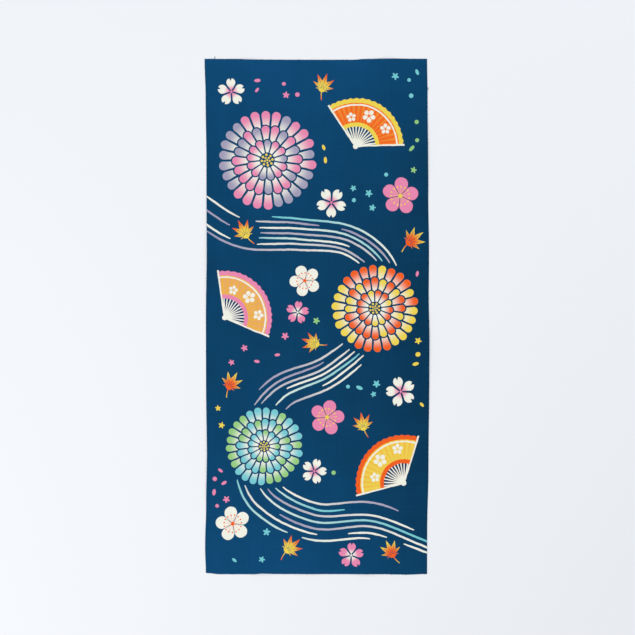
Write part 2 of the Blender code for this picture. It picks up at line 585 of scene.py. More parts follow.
def nearest_on(stroke, places):
    """For each place: distance across the stroke, and along it from its start.

    The nearest point of the stroke gives the direction, and the place is measured from there
    along it and square to it.
    """
    gaps = ((places[:, None, :] - stroke[None, :, :]) ** 2).sum(-1)
    nearest = gaps.argmin(1)
    slope = np.gradient(stroke, axis=0)
    slope /= np.linalg.norm(slope, axis=1, keepdims=True)
    from_point = places - stroke[nearest]
    heading = slope[nearest]
    ahead = (from_point * heading).sum(1)
    across = from_point[:, 1] * heading[:, 0] - from_point[:, 0] * heading[:, 1]
    along = nearest * COURSE_STEP + ahead
    return across, along


def direction(degrees):
    """Unit vector at that angle from +X."""
    return np.array([math.cos(math.radians(degrees)), math.sin(math.radians(degrees))])


def obstacles():
    """Circles that the stream's lines stay out of: (x, y, radius), round flowers, leaves and stalks."""
    circles = [(mum.x, mum.y, mum.radius + LINE_GAP) for mum in MUMS]
    for leaf in MAPLES:
        for at, reach in LEAF_CIRCLES:
            x, y = (leaf.x, leaf.y) + direction(leaf.turn) * at * leaf.radius
            circles.append((x, y, reach * leaf.radius + LINE_GAP))
    return np.array(circles) * MM


def open_runs(stroke):
    """Slice limits of each stretch of a line that is free of obstacles and not too short."""
    circles = obstacles()
    gaps = np.linalg.norm(stroke[:, None, :] - circles[None, :, :2], axis=2) - circles[:, 2]
    free = (gaps > 0).all(1)
    turns = np.flatnonzero(np.diff(np.concatenate([[False], free, [False]])))
    on_cloth = np.abs(stroke[:, 0]) < WIDTH / 2
    for first, last in zip(turns[::2], turns[1::2]):
        if on_cloth[first:last].sum() * COURSE_STEP > SHORTEST_RUN:
            yield first, last


def print_stream(cloth, dyes, prints):
    """Corner values of the stream's lines: (across, from the nearest end, half width), and the dye."""
    course = smooth_course(STREAM_COURSE)
    middles = cloth.corner_flat.mean(1)
    closest = np.full(len(middles), FAR_AWAY)
    place = np.full(cloth.corner_flat.shape[:2] + (3,), FAR_AWAY)
    place[..., 2] = prints.line_width / 2
    colour = np.zeros(place.shape)
    for line in STREAM_LINES:
        whole = stream_stroke(line, course, prints.lane_pitch)
        for first, last in open_runs(whole):
            stroke = whole[first:last]
            low = stroke.min(0) - 2 * prints.lane_pitch
            high = stroke.max(0) + 2 * prints.lane_pitch
            near = np.flatnonzero(((middles > low) & (middles < high)).all(1))
            gap = np.sqrt(((middles[near][:, None, :] - stroke[None, ::2, :]) ** 2).sum(-1).min(1))
            owned = (gap < closest[near]) & (gap < prints.lane_pitch)
            cells = near[owned]
            closest[cells] = gap[owned]
            across, along = nearest_on(stroke, cloth.corner_flat[cells].reshape(-1, 2))
            from_end = np.minimum(along, (len(stroke) - 1) * COURSE_STEP - along)
            fullness = 0.5 + 0.5 * np.sin(math.pi / 2 * np.clip(from_end / LINE_TAPER, 0, 1))
            values = np.column_stack([across, from_end, fullness * prints.line_width / 2])
            place[cells] = values.reshape(-1, 4, 3)
            fade = swell((along / COURSE_STEP + first) / len(whole))[:, None]
            dye = np.array(getattr(dyes, line.dye)) * fade + np.array(getattr(dyes, line.fade)) * (1 - fade)
            colour[cells] = dye.reshape(-1, 4, 3)
    return place, colour


def print_motifs(cloth, motifs, reach):
    """Corner places of each motif's own axes, (x, y, radius), and each face's motif number or -1.

    A place is the flat place from the motif's middle, turned back by the motif's own turn.
    """
    middles = cloth.corner_flat.mean(1)
    closest = np.full(len(middles), reach)
    owner = np.full(len(middles), -1)
    place = np.full(cloth.corner_flat.shape[:2] + (3,), FAR_AWAY)
    for number, motif in enumerate(motifs):
        middle = np.array([motif.x, motif.y]) * MM
        radius = motif.radius * MM
        gap = np.linalg.norm(middles - middle, axis=1) / radius
        cells = np.flatnonzero(gap < closest)
        closest[cells] = gap[cells]
        owner[cells] = number
        cosine, sine = direction(motif.turn)
        moved = cloth.corner_flat[cells] - middle
        place[cells, :, 0] = moved[..., 0] * cosine + moved[..., 1] * sine
        place[cells, :, 1] = moved[..., 1] * cosine - moved[..., 0] * sine
        place[cells, :, 1] *= getattr(motif, "slim", 1.0)
        place[cells, :, 2] = radius
    return place, owner


def per_corner(rows, owner):
    """Each face's row of the table, by the number of the motif that owns it, on its four corners."""
    row = np.array(rows)[np.maximum(owner, 0)] * (owner >= 0)[:, None]
    return np.repeat(row[:, None, :], 4, axis=1)


def scatter_grains(lane_pitch):
    """Small dots, slim petals and five-lobed stars, drawn at random inside the drifts.

    One that would touch a larger motif, or another small one, is left out.
    """
    random = np.random.default_rng(GRAIN_SEED)
    taken = [(motif.x, motif.y, motif.radius + GRAIN_ROOM) for motif in MUMS + PLUMS + CHERRIES + MAPLES]
    for fan in FANS:
        x, y = (fan.x, fan.y) + direction(fan.turn) * FAN_MIDDLE * fan.radius
        taken.append((x, y, FAN_ROOM * fan.radius))
    course = smooth_course(STREAM_COURSE)
    grains = []
    for drift in DRIFTS:
        for _ in range(drift.count):
            x = drift.x + drift.spread_x * random.uniform(-1, 1)
            y = drift.y + drift.spread_y * random.uniform(-1, 1)
            radius, slim, lobes = GRAIN_KINDS[random.integers(len(GRAIN_KINDS))]
            radius *= random.uniform(0.85, 1.15)
            turn = random.uniform(0, 360)
            clear = all(math.hypot(x - a, y - b) > reach + radius for a, b, reach in taken)
            from_stream = np.linalg.norm(course - np.array([x, y]) * MM, axis=1).min()
            dry = from_stream > STREAM_ROOM * lane_pitch
            if clear and dry and abs(x) < GRAIN_FIELD[0] and abs(y) < GRAIN_FIELD[1]:
                grains.append(Grain(x, y, radius, turn, slim, lobes, drift.dye))
                taken.append((x, y, radius + GRAIN_SPACING))
    return tuple(grains)


PRINT_EDGE = 0.25 * MM  # over which a printed edge bleeds into the ground
KEYLINE = 2.4 * MM  # of ground left round a motif that lies over another


def with_math(operation):
    """A method that feeds a signal and one more value into a Math node."""
    return lambda signal, other: math_node(signal.tree, operation, signal, other)


class Signal:
    """A value that flows between shader nodes, so that a formula reads as arithmetic."""

    def __init__(self, tree, socket):
        self.tree = tree
        self.socket = socket

    __add__ = with_math("ADD")
    __radd__ = __add__
    __sub__ = with_math("SUBTRACT")
    __mul__ = with_math("MULTIPLY")
    __rmul__ = __mul__
    __truediv__ = with_math("DIVIDE")
    __gt__ = with_math("GREATER_THAN")
    least = with_math("MINIMUM")
    most = with_math("MAXIMUM")

    def __rsub__(self, other):
        return math_node(self.tree, "SUBTRACT", other, self)

    def __rtruediv__(self, other):
        return math_node(self.tree, "DIVIDE", other, self)

    def __abs__(self):
        return self.math("ABSOLUTE")

    def math(self, operation, *others):
        """A Math node of that operation on this signal and others."""
        return math_node(self.tree, operation, self, *others)

    def clamped(self):
        """Held between 0 and 1."""
        return self.most(0).least(1)

    def ramp(self, low, high):
        """0 below low and 1 above high, with a smooth step between."""
        node = add_node(self.tree, "ShaderNodeMapRange")
        node.interpolation_type = "SMOOTHSTEP"
        feed(node.inputs["Value"], self)
        node.inputs["From Min"].default_value = low
        node.inputs["From Max"].default_value = high
        return Signal(self.tree, node.outputs["Result"])

    def inked(self):
        """Mask of a printed shape, from the distance inside its outline."""
        return self.ramp(-PRINT_EDGE, PRINT_EDGE)

    def room(self):
        """Mask of the same shape widened by the keyline."""
        return self.ramp(-KEYLINE - PRINT_EDGE, -KEYLINE + PRINT_EDGE)


def add_node(tree, kind):
    """A new node, set in rows of twelve so that the tree can be read in the editor."""
    number = len(tree.nodes)
    node = tree.nodes.new(kind)
    node.location = (number % 12 * 190, -(number // 12) * 210)
    return node


def feed(socket, value):
    """Links a signal to the socket, or sets a plain value on it."""
    if isinstance(value, Signal):
        value.tree.links.new(value.socket, socket)
    else:
        socket.default_value = value


def math_node(tree, operation, *values):
    """A Math node of that operation on signals and numbers."""
    node = add_node(tree, "ShaderNodeMath")
    node.operation = operation
    for slot, value in enumerate(values):
        feed(node.inputs[slot], value)
    return Signal(tree, node.outputs[0])


def vector_node(operation, vector, other=None):
    """A Vector Math node of that operation on a vector and, where it needs one, another value."""
    node = add_node(vector.tree, "ShaderNodeVectorMath")
    node.operation = operation
    feed(node.inputs[0], vector)
    if other is not None:
        feed(node.inputs["Scale" if operation == "SCALE" else 1], other)
    return Signal(vector.tree, node.outputs["Value" if operation == "LENGTH" else "Vector"])


def length_of(vector):
    """The length of a vector."""
    return vector_node("LENGTH", vector)


def split(vector):
    """The three numbers of a vector."""
    node = add_node(vector.tree, "ShaderNodeSeparateXYZ")
    feed(node.inputs[0], vector)
    return [Signal(vector.tree, output) for output in node.outputs]


def join(x, y):
    """A vector of two numbers, level with the cloth."""
    node = add_node(x.tree, "ShaderNodeCombineXYZ")
    feed(node.inputs["X"], x)
    feed(node.inputs["Y"], y)
    return Signal(x.tree, node.outputs[0])


# Sockets of a Mix node that mixes colours
MIX_SHARE = 0
MIX_FIRST = 6
MIX_SECOND = 7
MIX_RESULT = 2


def blend(share, first, second):
    """The first colour where share is 0 and the second where it is 1."""
    node = add_node(share.tree, "ShaderNodeMix")
    node.data_type = "RGBA"
    feed(node.inputs[MIX_SHARE], share)
    feed(node.inputs[MIX_FIRST], first)
    feed(node.inputs[MIX_SECOND], second)
    return Signal(share.tree, node.outputs[MIX_RESULT])


def noise(vector, scale, detail=2.0, roughness=0.5, output="Fac"):
    """Smooth noise from 0 to 1 on a vector, or its coloured form."""
    node = add_node(vector.tree, "ShaderNodeTexNoise")
    node.noise_dimensions = "3D"
    feed(node.inputs["Vector"], vector)
    node.inputs["Scale"].default_value = scale
    node.inputs["Detail"].default_value = detail
    node.inputs["Roughness"].default_value = roughness
    return Signal(vector.tree, node.outputs[output])


def wobble(vector, sizes, **look):
    """A small random shift, from minus half to plus half of the size each way."""
    centred = vector_node("SUBTRACT", noise(vector, output="Color", **look), (0.5, 0.5, 0.5))
    return vector_node("MULTIPLY", centred, sizes)


def pick_of(number):
    """A random value from 0 to 1 that is the same for the same whole number."""
    node = add_node(number.tree, "ShaderNodeTexWhiteNoise")
    node.noise_dimensions = "1D"
    feed(node.inputs["W"], number)
    return Signal(number.tree, node.outputs["Value"])


VALUE = "NodeSocketFloat"
VECTOR = "NodeSocketVector"
COLOUR = "NodeSocketColor"


def start_group(name, inputs, outputs):
    """A node group with named sockets. Returns its inputs as signals and its output node.

    An input is given by its kind of socket, or by the default of a plain value.
    """
    tree = bpy.data.node_groups.new(name, "ShaderNodeTree")
    for label, given in inputs.items():
        plain = isinstance(given, float)
        kind = VALUE if plain else given
        socket = tree.interface.new_socket(name=label, in_out="INPUT", socket_type=kind)
        if plain:
            socket.default_value = given
    for label, kind in outputs.items():
        tree.interface.new_socket(name=label, in_out="OUTPUT", socket_type=kind)
    entry = add_node(tree, "NodeGroupInput")
    signals = {socket.name: Signal(tree, socket) for socket in entry.outputs if socket.name}
    return signals, add_node(tree, "NodeGroupOutput")


def end_group(leave, values):
    """Feeds a group's outputs and returns the group."""
    for label, value in values.items():
        feed(leave.inputs[label], value)
    return leave.id_data


def use_group(tree, group, values):
    """Places a node group in a tree with the given inputs and returns its outputs as signals."""
    node = add_node(tree, "ShaderNodeGroup")
    node.node_tree = group
    node.label = group.name.replace("_", " ")
    for label, value in values.items():
        feed(node.inputs[label], value)
    return {socket.name: Signal(tree, socket) for socket in node.outputs}


def draw_ring(group, at, **values):
    """Places a ring's group at a motif's (place, radius), with its other inputs by name."""
    place, radius = at
    named = {label.capitalize(): value for label, value in values.items()}
    return use_group(place.tree, group, {"Place": place, "Radius": radius, **named})


def polar(place):
    """Distance from the middle and angle from +X, in radians, of a place."""
    x, y, _ = split(place)
    return length_of(join(x, y)), y.math("ARCTAN2", x)


def in_radii(place):
    """A motif's place as shares of its radius, and that radius."""
    x, y, radius = split(place)
    return join(x / radius, y / radius), radius


def petal_ring_group():
    """A ring of petals.

    The turn round the middle is cut into equal sectors, one a petal. A petal is a circle at its
    root, a larger circle at its tip, both on the sector's middle line, and the two straight sides
    that touch them. Inside and outside it, the value is the distance to its outline. A wedge with
    its point on the middle line, half as wide to each side as it is deep, can be cut into the tip.
    """
    given, leave = start_group(
        "petal_ring",
        {
            "Place": VECTOR, "Radius": 0.05, "Petals": 5.0, "Inner": 0.1, "Outer": 1.0, "Fullness": 0.4,
            "Root": 0.4, "Turn": 0.0, "Notch": -1.0, "Unevenness": 0.05,
        },
        {"Mask": VALUE, "Room": VALUE, "Along": VALUE, "Pick": VALUE},
    )
    distance, angle = polar(given["Place"])
    arc = 2 * math.pi / given["Petals"]
    sector = (angle + given["Turn"]) / arc
    number = sector.math("ROUND")
    off = (sector - number) * arc
    ring_number = given["Inner"] * 37  # so that each ring has picks of its own
    pick = pick_of(number.math("FLOORED_MODULO", given["Petals"]) + ring_number)
    reach = given["Outer"] * (1 - given["Unevenness"] * pick)
    wide = given["Fullness"] * arc
    tip = reach * wide / (wide + 1)
    root = given["Inner"] * wide * given["Root"]
    length = reach - tip - given["Inner"]
    slope = (root - tip) / length
    level = (1 - slope * slope).math("SQRT")

    ahead = distance * off.math("COSINE") - given["Inner"]
    aside = abs(distance * off.math("SINE"))
    beside = level * ahead - slope * aside
    flank = root - level * aside - slope * ahead
    sides = flank.least(beside).least(level * length - beside)
    root_circle = root - length_of(join(ahead, aside))
    tip_circle = tip - length_of(join(ahead - length, aside))
    inside = sides.most(root_circle).most(tip_circle)
    wedge = aside - (ahead + given["Inner"] + given["Notch"] - reach) * 0.5
    return end_group(leave, {
        "Mask": (inside.least(wedge) * given["Radius"]).inked(),
        "Room": (inside * given["Radius"]).room(),
        "Along": ((ahead + root) / (reach - given["Inner"])).clamped(),
        "Pick": pick,
    })


def dot_ring_group():
    """A ring of round dots, each in the middle of its own sector at one distance from the middle."""
    given, leave = start_group(
        "dot_ring",
        {"Place": VECTOR, "Radius": 0.05, "Dots": 7.0, "Ring": 0.1, "Dot": 0.02, "Turn": 0.0},
        {"Mask": VALUE},
    )
    distance, angle = polar(given["Place"])
    sector = (angle + given["Turn"]) * given["Dots"] / (2 * math.pi)
    off = (sector - sector.math("ROUND")) * (2 * math.pi) / given["Dots"]
    x = distance * off.math("COSINE") - given["Ring"]
    y = distance * off.math("SINE")
    return end_group(leave, {"Mask": ((given["Dot"] - length_of(join(x, y))) * given["Radius"]).inked()})


LAYER_OUTPUTS = {"Colour": COLOUR, "Mask": VALUE, "Room": VALUE}

# A chrysanthemum's rings of petals from the outside in: share of the petals, inner and outer
# radius, and turn
MUM_RINGS = (
    (1.0, 0.50, 1.00, 0.00),
    (0.77, 0.28, 0.70, 0.10),
    (0.5, 0.13, 0.41, 0.05),
)
SECOND_DYE = 0.55  # picks above it take the second tip dye

# Its eye: how many dots, how far from the middle, how large and how far turned, and the ground
# left round them
EYE_DOTS = (
    (8.0, 0.105, 0.024, 0.0),
    (5.0, 0.052, 0.02, 0.4),
    (1.0, 0.0, 0.02, 0.0),
)
EYE_ROOM = 0.15


def chrysanthemum_group(petal_ring, dot_ring, petals):
    """Three overlapping rings of round-tipped petals round a cluster of dots.

    Each ring leaves a keyline of ground in the ring behind it. A petal's colour runs from the
    root dye to one of two tip dyes, picked petal by petal.
    """
    given, leave = start_group(
        "chrysanthemum",
        {"Place": VECTOR, "Tip": COLOUR, "Second": COLOUR, "Root": COLOUR, "Eye": COLOUR},
        LAYER_OUTPUTS,
    )
    place, radius = in_radii(given["Place"])
    colour = given["Root"]
    mask = None
    for share, inner, outer, turn in MUM_RINGS:
        ring = draw_ring(
            petal_ring, (place, radius), petals=float(round(petals * share)), inner=inner,
            outer=outer, fullness=0.40, root=0.72, turn=turn, unevenness=0.05,
        )
        tip = blend(ring["Pick"] > SECOND_DYE, given["Tip"], given["Second"])
        shade = blend(ring["Along"].ramp(0.25, 0.95), given["Root"], tip)
        colour = blend(ring["Mask"], colour, shade)
        mask = ring["Mask"] if mask is None else (mask * (1 - ring["Room"])).most(ring["Mask"])
    eye = None
    for dots, at, dot, turn in EYE_DOTS:
        cluster = draw_ring(dot_ring, (place, radius), dots=dots, ring=at, dot=dot, turn=turn)["Mask"]
        eye = cluster if eye is None else eye.most(cluster)
    middle = length_of(place)
    clear = (EYE_ROOM - middle) * radius
    return end_group(leave, {
        "Colour": blend(eye, colour, given["Eye"]),
        "Mask": (mask * (1 - clear.inked())).most(eye),
        "Room": ((1 - middle) * radius).room(),
    })


def plum_group(petal_ring, dot_ring):
    """Five round petals, a ring of stamens as thin lines with dots on their ends, and a centre dot."""
    given, leave = start_group(
        "plum_blossom", {"Place": VECTOR, "Petal": COLOUR, "Eye": COLOUR}, LAYER_OUTPUTS,
    )
    at = in_radii(given["Place"])
    petals = draw_ring(
        petal_ring, at, petals=5.0, inner=0.10, outer=1.0, fullness=0.45, root=0.7, unevenness=0.03,
    )
    stamens = draw_ring(
        petal_ring, at, petals=15.0, inner=0.12, outer=0.50, fullness=0.045, root=2.0,
        unevenness=0.25,
    )
    ends = draw_ring(dot_ring, at, dots=15.0, ring=0.5, dot=0.045)
    centre = draw_ring(dot_ring, at, dots=1.0, ring=0.0, dot=0.11)
    eye = stamens["Mask"].most(ends["Mask"]).most(centre["Mask"])
    return end_group(leave, {
        "Colour": blend(eye, given["Petal"], given["Eye"]),
        "Mask": petals["Mask"].most(eye),
        "Room": petals["Room"],
    })


def cherry_group(petal_ring, dot_ring):
    """Five petals with a notch in their tips, tinted at their roots, and a star of fine stamens."""
    given, leave = start_group(
        "cherry_blossom", {"Place": VECTOR, "Petal": COLOUR, "Eye": COLOUR}, LAYER_OUTPUTS,
    )
    at = in_radii(given["Place"])
    petals = draw_ring(
        petal_ring, at, petals=5.0, inner=0.12, outer=1.0, fullness=0.38, root=0.35, notch=0.20,
        unevenness=0.03,
    )
    stamens = draw_ring(
        petal_ring, at, petals=10.0, inner=0.10, outer=0.46, fullness=0.05, root=2.0, turn=0.3,
        unevenness=0.3,
    )
    centre = draw_ring(dot_ring, at, dots=1.0, ring=0.0, dot=0.08)
    eye = stamens["Mask"].most(centre["Mask"])
    tinted = blend((1 - petals["Along"]).ramp(0.45, 1.0), given["Petal"], given["Eye"])
    return end_group(leave, {
        "Colour": blend(eye, tinted, given["Eye"]),
        "Mask": petals["Mask"].most(centre["Mask"]),
        "Room": petals["Room"],
    })


def maple_group():
    """A seven-lobed maple leaf on its stalk.

    The angle from the leaf's axis is cut into lobes of 37 degrees. A lobe is a long diamond whose
    length falls as a cosine of its number, with small teeth on its sides and a vein left bare.
    """
    lobe_step = math.radians(37)
    widest = 0.46  # place along a lobe
    lobe_width = 0.165
    heart = 0.27  # radius of the disc that joins the lobes
    stalk = (-0.78, -0.05)  # places of its end and its root
    stalk_half = 0.030
    vein = (0.06, 0.74)  # places of its root and its end
    vein_half = 0.011
    blade = 0.72  # radius of the disc kept clear round the blade
    given, leave = start_group(
        "maple_leaf", {"Place": VECTOR, "Tip": COLOUR, "Root": COLOUR}, LAYER_OUTPUTS,
    )
    place, radius = in_radii(given["Place"])
    x, y, _ = split(place)
    distance = length_of(place)
    angle = y.math("ARCTAN2", x)
    lobe = (angle / lobe_step).math("ROUND").most(-3).least(3)
    off = angle - lobe * lobe_step
    length = (lobe * 0.37).math("COSINE")
    along = distance * off.math("COSINE") / length
    across = abs(distance * off.math("SINE"))
    teeth = abs((along * 6.5).math("FRACT") - 0.5) * 0.22
    diamond = (along / widest).least((1 - along) / (1 - widest)) * (0.89 + teeth)
    lobes = (diamond * length * lobe_width - across) * radius
    bend = y + x * x * 0.35
    stem = (stalk_half - abs(bend)).least(x - stalk[0]).least(stalk[1] - x) * radius
    inside = lobes.most((heart - distance) * radius).most(stem)
    bare = (vein_half - across).least(vein[1] - along).least(along - vein[0]) * radius
    from_blade = length_of(vector_node("SUBTRACT", place, (BLADE_AT, 0.0, 0.0)))
    return end_group(leave, {
        "Colour": blend(distance.ramp(0.2, 0.85), given["Root"], given["Tip"]),
        "Mask": inside.inked() * (1 - bare.inked()),
        "Room": inside.most((blade - from_blade) * radius).room(),
    })


FAN_OPENING = math.radians(60)  # from the fan's axis to each guard
FAN_FOLDS = 16
FAN_RIBS = 12

# The blossoms on a fan's leaf: distance from the pivot, angle and size
FAN_BLOSSOMS = (
    (0.665, 0.05, 0.135),
    (0.60, 0.62, 0.10),
    (0.70, -0.58, 0.11),
)


def fan_group(petal_ring):
    """An open folding fan, seen from its pivot along +X.

    The leaf is the sector between two radii whose rims zigzag with the folds. Thin ribs run from
    the pivot to the leaf, two guards close its sides, and two bands and a few blossoms lie on it.
    """
    rim = 0.985
    rim_zigzag = 0.02
    foot = 0.41
    foot_zigzag = 0.015
    rib_half = 0.0125
    rib_start = 0.02
    rib_lap = 0.02  # over the leaf's foot
    guard_half = 0.019
    guard_off_leaf = 0.02  # radians
    pivot_size = 0.055
    rim_band = 0.885
    foot_band = 0.485
    thread_at = 0.845
    thread_half = 0.016
    given, leave = start_group(
        "folding_fan", {"Place": VECTOR, "Leaf": COLOUR, "Band": COLOUR, "Trim": COLOUR}, LAYER_OUTPUTS,
    )
    place, radius = in_radii(given["Place"])
    distance, angle = polar(place)
    fold = angle / (2 * FAN_OPENING) * FAN_FOLDS
    zigzag = abs(fold.math("FRACT") - 0.5) * 2
    outer = (rim - zigzag * rim_zigzag - distance) * radius
    inner = (distance - foot + zigzag * foot_zigzag) * radius
    flank = (FAN_OPENING - abs(angle)) * distance * radius
    leaf = outer.least(inner).least(flank)
    rib = angle / (2 * FAN_OPENING) * FAN_RIBS
    rib_off = abs(rib.math("FRACT") - 0.5) * (2 * FAN_OPENING / FAN_RIBS) * distance
    ribs = (rib_half - rib_off).least(foot + rib_lap - distance).least(distance - rib_start)
    ribs = (ribs * radius).least(flank)
    guard_off = abs(abs(angle) - (FAN_OPENING + guard_off_leaf)) * distance
    guards = (guard_half - guard_off).least(1.0 - distance) * radius
    pivot = (pivot_size - distance) * radius
    sticks = ribs.most(guards).most(pivot).inked()
    leaf_mask = leaf.inked()

    shaded = blend(zigzag * 0.35 * distance, given["Leaf"], given["Band"])
    bands = ((distance - rim_band) * radius).inked().most(((foot_band - distance) * radius).inked())
    thread = (thread_half - abs(distance - thread_at)) * radius
    colour = blend(bands, shaded, given["Band"])
    colour = blend(thread.inked(), colour, given["Trim"])
    for at, turn, size in FAN_BLOSSOMS:
        moved = vector_node("SUBTRACT", place, (at * math.cos(turn), at * math.sin(turn), 0))
        flower = draw_ring(
            petal_ring, (vector_node("SCALE", moved, 1 / size), radius * size), petals=5.0,
            inner=0.26, outer=1.0, fullness=0.42, root=0.6, turn=turn * 3, unevenness=0.03,
        )
        colour = blend(flower["Mask"], colour, given["Trim"])
    crease = (0.07 - fold.math("FRACT")).ramp(0.0, 0.04)
    colour = blend(crease * 0.25, colour, given["Band"])
    return end_group(leave, {
        "Colour": blend(sticks * (1 - leaf_mask), colour, given["Trim"]),
        "Mask": leaf_mask.most(sticks),
        "Room": flank.least(outer).most(guards).most(pivot).room(),
    })


def water_line_group():
    """One drawn line: half its width less the distance across, closed by a round cap at each end."""
    given, leave = start_group("water_line", {"Line": VECTOR}, {"Mask": VALUE})
    across, from_end, half_width = split(given["Line"])
    short = 1 - (from_end / half_width).clamped()
    cap = (1 - short * short).math("SQRT")
    inside = (half_width * cap - abs(across)).least(from_end)
    return end_group(leave, {"Mask": inside.inked()})


def grain_group():
    """A dot whose radius dips five times round it by the share of its lobes, which makes a star."""
    given, leave = start_group("printed_grain", {"Place": VECTOR, "Lobes": 0.0}, {"Mask": VALUE})
    place, radius = in_radii(given["Place"])
    distance, angle = polar(place)
    dip = given["Lobes"] * (0.5 - 0.5 * (angle * 5).math("COSINE"))
    return end_group(leave, {"Mask": ((1 - dip - distance) * radius).inked()})


def plain_weave_group():
    """Plain weave of warp along Y and weft along X, with a band of closer warp at each selvedge.

    Each crossing is one cell. A yarn's height is a cosine across it times a half cosine that
    lifts it in the cells where it lies on top, and the higher of the two yarns shows.
    """
    wander = 0.6 * MM  # how far a yarn strays from its straight line
    closer = 0.6  # how many more yarns the band has, as a share
    band_start = 0.4 * MM  # over which the band sets in
    row_offset = 0.37  # so that a row and a column of the same number have different picks
    given, leave = start_group(
        "plain_weave",
        {"Cloth": VECTOR, "Pitch": 0.5 * MM, "Selvedge": 3.6 * MM},
        {"Height": VALUE, "Yarn": VALUE, "Band": VALUE},
    )
    moved = wobble(given["Cloth"], (wander, wander, wander), scale=160.0, detail=1.0)
    x, y, _ = split(vector_node("ADD", given["Cloth"], moved))
    into_band = (abs(x) - WIDTH / 2 + given["Selvedge"]).most(0)
    u = (x + into_band * closer * x.math("SIGN")) / given["Pitch"]
    v = y / given["Pitch"]
    column = u.math("FLOOR")
    row = v.math("FLOOR")
    hump_x = ((u - column - 0.5) * math.pi).math("COSINE")
    hump_y = ((v - row - 0.5) * math.pi).math("COSINE")
    over = (column + row).math("FLOORED_MODULO", 2.0) * 2 - 1
    warp = hump_x * (0.5 + 0.5 * over * hump_y)
    weft = hump_y * (0.5 - 0.5 * over * hump_x)
    warp_on_top = warp > weft
    picks = pick_of(column) * warp_on_top + pick_of(row + row_offset) * (1 - warp_on_top)
    return end_group(leave, {
        "Height": warp.most(weft),
        "Yarn": picks,
        "Band": into_band.ramp(0.0, band_start),
    })


def ground_dye_and_painted_light_group():
    """The ground's colour: a slow ramp of painted light and shade across and along the cloth, dye clouds,
    and faint streaks of slubs.

    The share of the lighter colour is a polynomial in the place across and along, from -1 to 1 each: it
    falls across, and grows as the square of the distance along. This ramp is painted light and shade,
    lighter at both ends and on the left and darker on the right. The noises are added to it.
    """
    slub_rate = 420  # slubs to the metre, counted across the yarns
    warp_rate = 11  # the same along a warp yarn
    weft_rate = 9  # and along a weft yarn
    cloud_depth = 0.55
    streak_depth = 0.5
    given, leave = start_group(
        "ground_dye_and_painted_light",
        {"Cloth": VECTOR, "Deep": COLOUR, "Light": COLOUR},
        {"Colour": COLOUR, "Streak": VALUE},
    )
    x, y, _ = split(given["Cloth"])
    across = x / (WIDTH / 2)
    along = y / (LENGTH / 2)
    # Painted light and shade: lighter at both ends and on the left, darker on the right
    ramp = 0.405 - across * 0.207 - across * across * 0.187
    ramp = ramp + along * 0.07 + along * along * 0.476 + across * along * 0.071
    clouds = noise(given["Cloth"], scale=13.0, detail=3.0, roughness=0.55)
    warp_slubs = noise(join(x * slub_rate, y * warp_rate), scale=1.0)
    weft_slubs = noise(join(x * weft_rate, y * slub_rate), scale=1.0)
    streak = (warp_slubs + weft_slubs) * 0.5
    share = ramp + (clouds - 0.5) * cloud_depth + (streak - 0.5) * streak_depth
    return end_group(leave, {
        "Colour": blend(share.clamped(), given["Deep"], given["Light"]),
        "Streak": streak,
    })


def as_colour(rgb):
    """A colour socket's four numbers."""
    return (*rgb, 1.0)


def new_material(name, colour, roughness):
    """A material with its shader. Cotton is matt, so it has little mirror shine and some sheen."""
    material = bpy.data.materials.new(name)
    material.use_nodes = True
    material.diffuse_color = as_colour(colour)
    tree = material.node_tree
    shader = tree.nodes["Principled BSDF"]
    shader.inputs["Base Color"].default_value = as_colour(colour)
    shader.inputs["Roughness"].default_value = roughness
    shader.inputs["Specular IOR Level"].default_value = 0.02
    shader.inputs["Sheen Weight"].default_value = 0.01
    shader.inputs["Sheen Roughness"].default_value = 0.5
    return material, tree, shader


def add_bump(tree, shader, height, distance, strength):
    """Feeds the shader's normal from a height, which counts in the given distance."""
    bump = add_node(tree, "ShaderNodeBump")
    bump.inputs["Distance"].default_value = distance
    bump.inputs["Strength"].default_value = strength
    feed(bump.inputs["Height"], height)
    feed(shader.inputs["Normal"], Signal(tree, bump.outputs["Normal"]))


def attribute(tree, name):
    """Three numbers that the mesh holds by name."""
    node = add_node(tree, "ShaderNodeAttribute")
    node.attribute_name = name
    return Signal(tree, node.outputs["Vector"])


def object_place(tree):
    """Object coordinates."""
    return Signal(tree, add_node(tree, "ShaderNodeTexCoord").outputs["Object"])


# Layers of the print from the lowest up: name, motifs and their dyes
PRINT_LAYERS = (
    ("maple", MAPLES, ("Tip", "Root")),
    ("fan", FANS, ("Leaf", "Band", "Trim")),
    ("mum", MUMS, ("Tip", "Second", "Root")),
    ("plum", PLUMS, ("Petal", "Eye")),
    ("cherry", CHERRIES, ("Petal", "Eye")),
)
TREMBLE = 1.9 * MM  # how far the print's edges stray


def layer_groups(petals):
    """The node group that draws each layer of the print."""
    petal_ring = petal_ring_group()
    dot_ring = dot_ring_group()
    return {
        "mum": chrysanthemum_group(petal_ring, dot_ring, petals),
        "plum": plum_group(petal_ring, dot_ring),
        "cherry": cherry_group(petal_ring, dot_ring),
        "maple": maple_group(),
        "fan": fan_group(petal_ring),
    }


